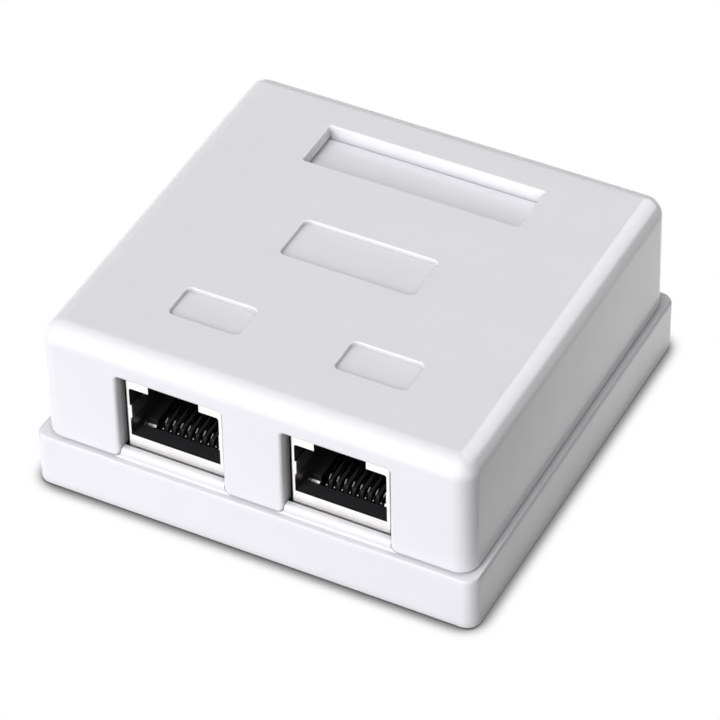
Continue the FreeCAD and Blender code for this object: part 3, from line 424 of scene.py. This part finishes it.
def soft_normals(node, limit_degrees, shoulder):
    """Smooth shading over the rounded edges of a solid, while its flat faces stay flat.

    Each face counts with the whole area that faces the same way.
    Between the two heights of a shoulder the shading turns more quickly to the wall's.
    """
    mesh = node.data
    corners = np.round(vertex_places(mesh) / SAME_SPOT).astype(np.int64)
    places = {}
    spot = np.array([places.setdefault(tuple(c), len(places)) for c in corners])
    faces_at = [[] for _ in range(len(places))]
    for polygon in mesh.polygons:
        for vertex in polygon.vertices:
            faces_at[spot[vertex]].append(polygon.index)
    normals = np.array([polygon.normal for polygon in mesh.polygons])
    areas = np.array([polygon.area for polygon in mesh.polygons])
    _, facing = np.unique(np.round(normals, 3), axis=0, return_inverse=True)
    facing = facing.reshape(-1)
    weights = np.bincount(facing, areas)[facing]
    limit = math.cos(math.radians(limit_degrees))
    loops = np.zeros((len(mesh.loops), 3))
    for polygon in mesh.polygons:
        own = normals[polygon.index]
        for loop in polygon.loop_indices:
            near = faces_at[spot[mesh.loops[loop].vertex_index]]
            close = [f for f in near if normals[f] @ own > limit]
            total = (normals[close] * weights[close][:, None]).sum(axis=0)
            length = np.linalg.norm(total)
            loops[loop] = total / length if length > 0 else own
            height = mesh.vertices[mesh.loops[loop].vertex_index].co.z
            if shoulder and shoulder[0] < height < shoulder[1] and own[2] < LEVEL_FACE:
                loops[loop][2] *= SHOULDER_TURN
                loops[loop] /= np.linalg.norm(loops[loop])
    mesh.polygons.foreach_set("use_smooth", [True] * len(mesh.polygons))
    mesh.normals_split_custom_set([tuple(n) for n in loops])


def dress(names, material, smooth=FINE_EDGE, shoulder=None):
    """Gives solids their finish, with soft shading across edges up to an angle."""
    for name in names:
        node = NODES[name]
        node.data.materials.clear()
        node.data.materials.append(material)
        if smooth:
            soft_normals(node, smooth, shoulder)


def both(name):
    """The names of a piece that each side has."""
    return [side + "_" + name for side in SIDES]


# Settings

class OutletBoxFinish(bpy.types.PropertyGroup):
    """Colours and roughnesses of the box's pieces."""

    case_colour: FloatVectorProperty(
        name="Case", description="Colour of the tray and the cover", subtype="COLOR", size=3,
        min=0.0, max=1.0, default=(0.86, 0.86, 0.88))
    label_colour: FloatVectorProperty(
        name="Label plate", description="Colour of the blank label plate", subtype="COLOR", size=3,
        min=0.0, max=1.0, default=(0.87, 0.87, 0.89))
    shield_colour: FloatVectorProperty(
        name="Shields", description="Colour of the sockets' metal cans", subtype="COLOR", size=3,
        min=0.0, max=1.0, default=(0.92, 0.91, 0.89))
    # colour of the painted shade on the metal inside the cans
    springs_shade_colour: FloatVectorProperty(
        name="Shield springs", description="Colour of the cans' bare springs", subtype="COLOR",
        size=3, min=0.0, max=1.0, default=(0.3, 0.3, 0.3))
    insulator_colour: FloatVectorProperty(
        name="Insulators", description="Colour of the sockets' plastic", subtype="COLOR", size=3,
        min=0.0, max=1.0, default=(0.025, 0.025, 0.026))
    contact_colour: FloatVectorProperty(
        name="Contact wires", description="Colour of the plated wires", subtype="COLOR", size=3,
        min=0.0, max=1.0, default=(0.25, 0.242, 0.222))
    board_colour: FloatVectorProperty(
        name="Circuit board", description="Colour of the board's mask", subtype="COLOR", size=3,
        min=0.0, max=1.0, default=(0.008, 0.06, 0.025))
    block_colour: FloatVectorProperty(
        name="Terminal blocks", description="Colour of the punch-down blocks", subtype="COLOR",
        size=3, min=0.0, max=1.0, default=(0.72, 0.71, 0.66))
    blade_colour: FloatVectorProperty(
        name="Terminal blades", description="Colour of the tinned blades", subtype="COLOR", size=3,
        min=0.0, max=1.0, default=(0.74, 0.74, 0.72))
    steel_colour: FloatVectorProperty(
        name="Screws and clamps", description="Colour of the zinc-plated steel", subtype="COLOR",
        size=3, min=0.0, max=1.0, default=(0.6, 0.61, 0.63))
    label_slit: FloatProperty(
        name="Label slit", description="Free height between the label plate and the lip over it",
        subtype="DISTANCE", unit="LENGTH", min=0.0, default=0.25 * MM)
    gloss: FloatProperty(
        name="Case roughness", description="Roughness of the gloss plastic", subtype="FACTOR",
        min=0.0, max=1.0, default=0.24)


class OutletBoxStage(bpy.types.PropertyGroup):
    """Camera and light."""

    azimuth: FloatProperty(
        name="Camera azimuth", description="Turn of the camera to the right of the front",
        subtype="ANGLE", default=math.radians(27.891))
    elevation: FloatProperty(
        name="Camera elevation", description="Height of the camera over the horizon",
        subtype="ANGLE", default=math.radians(41.754))
    roll: FloatProperty(
        name="Camera roll", description="Tilt of the picture", subtype="ANGLE",
        default=math.radians(-1.158))
    distance: FloatProperty(
        name="Camera distance", description="From the camera to the middle of the box",
        subtype="DISTANCE", unit="LENGTH", default=0.499672)
    lens: FloatProperty(
        name="Lens", description="Focal length on a 36 mm wide sensor", subtype="DISTANCE_CAMERA",
        unit="CAMERA", default=208.16)
    key: FloatProperty(
        name="Key light", description="Light of the soft key on a surface that faces it",
        subtype="FACTOR", min=0.0, default=0.73)
    high_key: FloatProperty(
        name="High key light", description="Harder light from higher up, which draws the recesses",
        subtype="FACTOR", min=0.0, default=0.275)
    rim: FloatProperty(
        name="Rim light", description="Sheen of the lamp behind the right side, seen in gloss only",
        subtype="FACTOR", min=0.0, default=0.85)
    ambient: FloatProperty(
        name="Ambient light", description="Light from all round", subtype="FACTOR", min=0.0,
        default=0.378)


# Operators

class OUTLET_BOX_OT_case(bpy.types.Operator):
    """Finish the tray and the cover in gloss white plastic"""

    bl_idname = "outlet_box.case"
    bl_label = "Case"

    def execute(self, context):
        look = context.scene.outlet_box_finish
        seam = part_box("cover")[0].z
        dress(["base_tray"], gloss_plastic("tray plastic", look.case_colour, look.gloss),
              shoulder=(seam - SHOULDER_H, seam + 0.05 * MM))
        dress(["cover"], gloss_plastic("cover plastic", look.case_colour, look.gloss), WIDE_EDGE)
        return {"FINISHED"}


class OUTLET_BOX_OT_label_lip(bpy.types.Operator):
    """Add the thin lip that hangs over the label plate's left end"""

    bl_idname = "outlet_box.label_lip"
    bl_label = "Label lip"

    def execute(self, context):
        look = context.scene.outlet_box_finish
        low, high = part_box("label_plate")
        wall_x = -(high.x + LABEL_GAP)
        back_x = wall_x - LIP_T
        bottom = high.z + look.label_slit
        top = high.z + LIP_TOP_H
        edge = LIP_EDGE_R
        profile = [(back_x, top), (back_x, bottom)]
        for step in range(LIP_EDGE_STEPS + 1):
            turn = math.radians(-90 + step * 90 / LIP_EDGE_STEPS)
            profile.append((wall_x - edge + edge * math.cos(turn),
                            bottom + edge + edge * math.sin(turn)))
        profile.append((wall_x, top))
        lip = extruded("label_lip", profile, low.y - LABEL_GAP, high.y + LABEL_GAP)
        lip.data.materials.append(NODES["cover"].data.materials[0])
        soft_normals(lip, FINE_EDGE, None)
        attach(lip, "cover_set")
        return {"FINISHED"}


class OUTLET_BOX_OT_label_plate(bpy.types.Operator):
    """Finish the blank label plate"""

    bl_idname = "outlet_box.label_plate"
    bl_label = "Label plate"

    def execute(self, context):
        look = context.scene.outlet_box_finish
        plastic = gloss_plastic("label plastic", look.label_colour, look.gloss, 0.9)
        dress(["label_plate"], plastic, WIDE_EDGE)
        return {"FINISHED"}


class OUTLET_BOX_OT_sockets(bpy.types.Operator):
    """Finish the sockets' metal cans and their black plastic"""

    bl_idname = "outlet_box.sockets"
    bl_label = "Sockets"

    def execute(self, context):
        look = context.scene.outlet_box_finish
        dress(both("jack_shield"), plated_sheet("shield nickel", look.shield_colour, 0.22,
                                                rgba(look.springs_shade_colour)))
        black = black_insulator("socket insulator", look.insulator_colour, 0.38)
        dress(both("jack_housing") + both("contact_carrier"), black)
        return {"FINISHED"}


class OUTLET_BOX_OT_contact_wires(bpy.types.Operator):
    """Finish the sockets' spring wires"""

    bl_idname = "outlet_box.contact_wires"
    bl_label = "Contact wires"

    def execute(self, context):
        look = context.scene.outlet_box_finish
        dress(both("jack_contacts"), spring_wire("contact plating", look.contact_colour, 0.2))
        return {"FINISHED"}


class OUTLET_BOX_OT_board(bpy.types.Operator):
    """Finish the circuit board"""

    bl_idname = "outlet_box.board"
    bl_label = "Circuit board"

    def execute(self, context):
        look = context.scene.outlet_box_finish
        dress(["circuit_board"], board_laminate("board laminate", look.board_colour, 0.32), 0.0)
        return {"FINISHED"}


class OUTLET_BOX_OT_terminals(bpy.types.Operator):
    """Finish the punch-down blocks and their blades"""

    bl_idname = "outlet_box.terminals"
    bl_label = "Terminals"

    def execute(self, context):
        look = context.scene.outlet_box_finish
        dress(both("terminal_block"), block_plastic("block plastic", look.block_colour, 0.42))
        dress(both("terminal_contacts"), plated_sheet("blade tin", look.blade_colour, 0.3))
        return {"FINISHED"}


class OUTLET_BOX_OT_fixings(bpy.types.Operator):
    """Finish the cable clamps and the screws"""

    bl_idname = "outlet_box.fixings"
    bl_label = "Clamps and screws"

    def execute(self, context):
        look = context.scene.outlet_box_finish
        steel = zinc_steel("zinc plating", look.steel_colour, 0.3)
        dress(both("cable_clamp") + ["cover_screw", "board_screws", "clamp_screws"], steel)
        return {"FINISHED"}


def make_floor():
    """Pale floor that shows white to the camera, with a contact shadow painted into its glow where
    the box stands close.
    """
    half = FLOOR_HALF
    mesh = bpy.data.meshes.new("floor")
    corners = [(-half, -half, 0), (half, -half, 0), (half, half, 0), (-half, half, 0)]
    mesh.from_pydata(corners, [], [(0, 1, 2, 3)])
    floor = bpy.data.objects.new("floor", mesh)
    bpy.context.collection.objects.link(floor)
    material, g = finish_graph("floor paper")
    camera_ray = g.node("ShaderNodeLightPath", output="Is Camera Ray")
    glossy_ray = g.node("ShaderNodeLightPath", output="Is Glossy Ray")
    place = g.place()
    x, y, _ = g.axes(place)
    fibre = g.noise(place, 0.8, 2.0)
    # painted shade: the floor throws back less light towards the right
    shade = g.ramp(x, -30 * MM, 40 * MM, FLOOR_LEFT, FLOOR_RIGHT) + (fibre - 0.5) * 0.02
    tone = g.node("ShaderNodeCombineColor", None, {0: shade, 1: shade, 2: shade})
    paper = g.node("ShaderNodeBsdfDiffuse", None, {"Color": tone})
    right_side = g.ramp(x, 22 * MM, 30 * MM)
    behind = g.ramp(y, -20 * MM, 70 * MM, 0.5, 1.5) + g.ramp(x, 34 * MM, 42 * MM, 0.5, 0.0)
    mirrored = FLOOR_MIRRORED + right_side * (behind - FLOOR_MIRRORED)
    # painted contact shadow: the glow darkens where the box stands close
    contact = g.ramp(g.open_air(FLOOR_SHADE_REACH), 0.42, 0.92, 0.14, 1.0)
    glow = contact * (1 + glossy_ray * (mirrored - 1))
    bright = g.node("ShaderNodeEmission", None, {"Strength": glow})
    seen = g.node("ShaderNodeMath", {"operation": "MAXIMUM"}, {0: camera_ray, 1: glossy_ray})
    g.node_output(g.node("ShaderNodeMixShader", None, {0: seen, 1: paper, 2: bright}))
    mesh.materials.append(material)


def make_world(ambient):
    """Even pale light from all round, white to the camera; reflections also see a bright front."""
    world = bpy.data.worlds.new("studio")
    bpy.context.scene.world = world
    world.use_nodes = True
    g = Graph(world.node_tree)
    camera_ray = g.node("ShaderNodeLightPath", output="Is Camera Ray")
    glossy_ray = g.node("ShaderNodeLightPath", output="Is Glossy Ray")
    _, y, _ = g.axes(g.node("ShaderNodeTexCoord", output="Generated"))
    softbox = g.ramp(y, 0.0, -0.6) * SOFTBOX
    strength = ambient + camera_ray * (1 - ambient) + glossy_ray * (0.35 + softbox)
    shader = g.node("ShaderNodeBackground", None, {"Color": SKY_TINT, "Strength": strength})
    g.node_output(shader, "ShaderNodeOutputWorld")


def make_lamp(name, source, level, **settings):
    """A broad lamp that shines from a direction, its level being that on a face turned to it."""
    lamp = bpy.data.lights.new(name, "SUN")
    lamp.energy = level * math.pi
    for key, value in settings.items():
        setattr(lamp, key, value)
    holder = bpy.data.objects.new(name, lamp)
    bpy.context.collection.objects.link(holder)
    direction = Vector(source).normalized()
    holder.rotation_euler = direction.to_track_quat("Z", "Y").to_euler()
    holder.location = direction
    return holder


def make_camera(stage):
    """Camera where the photograph was taken from."""
    turn, rise, roll = stage.azimuth, stage.elevation, stage.roll
    reach = math.cos(rise)
    back = Vector((math.sin(turn) * reach, -math.cos(turn) * reach, math.sin(rise)))
    level = Vector((math.cos(turn), math.sin(turn), 0))
    up = back.cross(level)
    right = level * math.cos(roll) + up * math.sin(roll)
    above = up * math.cos(roll) - level * math.sin(roll)
    aim = Vector((0, 0, AIM_H))
    data = bpy.data.cameras.new("camera")
    data.sensor_fit = "HORIZONTAL"
    data.sensor_width = 36.0
    data.lens = stage.lens
    data.clip_start = 0.01
    camera = bpy.data.objects.new("camera", data)
    bpy.context.collection.objects.link(camera)
    camera.matrix_world = Matrix((
        (right.x, above.x, back.x, 0),
        (right.y, above.y, back.y, 0),
        (right.z, above.z, back.z, 0),
        (0, 0, 0, 1)))
    camera.location = aim + back * stage.distance + right * SHIFT_RIGHT + above * SHIFT_UP
    bpy.context.scene.camera = camera


class OUTLET_BOX_OT_stage(bpy.types.Operator):
    """Set up the floor, the light and the camera"""

    bl_idname = "outlet_box.stage"
    bl_label = "Stage"

    def execute(self, context):
        stage = context.scene.outlet_box_stage
        make_floor()
        make_world(stage.ambient)
        key = make_lamp("key", KEY_FROM, stage.key, angle=KEY_WIDTH, color=LAMP_TINT)
        key.visible_glossy = False
        high = make_lamp("high key", HIGH_KEY_FROM, stage.high_key, angle=HIGH_KEY_WIDTH,
                         color=LAMP_TINT)
        high.visible_glossy = False
        rim = make_lamp("rim", RIM_FROM, stage.rim, angle=RIM_WIDTH)
        rim.visible_diffuse = False
        rim_lit = bpy.data.collections.new("rim lit")
        rim_lit.objects.link(NODES["cover"])
        rim.light_linking.receiver_collection = rim_lit
        make_camera(stage)
        context.scene.view_settings.view_transform = "Standard"
        return {"FINISHED"}


OPERATORS = (
    OUTLET_BOX_OT_case,
    OUTLET_BOX_OT_label_lip,
    OUTLET_BOX_OT_label_plate,
    OUTLET_BOX_OT_sockets,
    OUTLET_BOX_OT_contact_wires,
    OUTLET_BOX_OT_board,
    OUTLET_BOX_OT_terminals,
    OUTLET_BOX_OT_fixings,
    OUTLET_BOX_OT_stage,
)


class OUTLET_BOX_PT_panel(bpy.types.Panel):
    """Lists the pieces and their settings"""

    bl_idname = "OUTLET_BOX_PT_panel"
    bl_label = "Outlet box"
    bl_space_type = "VIEW_3D"
    bl_region_type = "UI"
    bl_category = "Outlet Box"

    def draw(self, context):
        for settings in (context.scene.outlet_box_finish, context.scene.outlet_box_stage):
            column = self.layout.column()
            for name in settings.__annotations__:
                column.prop(settings, name)
        for operator in OPERATORS:
            self.layout.operator(operator.bl_idname)


CLASSES = (OutletBoxFinish, OutletBoxStage) + OPERATORS + (OUTLET_BOX_PT_panel,)


def register():
    for cls in CLASSES:
        bpy.utils.register_class(cls)
    bpy.types.Scene.outlet_box_finish = PointerProperty(type=OutletBoxFinish)
    bpy.types.Scene.outlet_box_stage = PointerProperty(type=OutletBoxStage)


def unregister():
    del bpy.types.Scene.outlet_box_stage
    del bpy.types.Scene.outlet_box_finish
    for cls in reversed(CLASSES):
        bpy.utils.unregister_class(cls)


def main():
    """Runs every operator in order."""
    register()
    bpy.ops.outlet_box.case()
    bpy.ops.outlet_box.label_lip()
    bpy.ops.outlet_box.label_plate()
    bpy.ops.outlet_box.sockets()
    bpy.ops.outlet_box.contact_wires()
    bpy.ops.outlet_box.board()
    bpy.ops.outlet_box.terminals()
    bpy.ops.outlet_box.fixings()
    bpy.ops.outlet_box.stage()


if __name__ == "__main__":
    main()
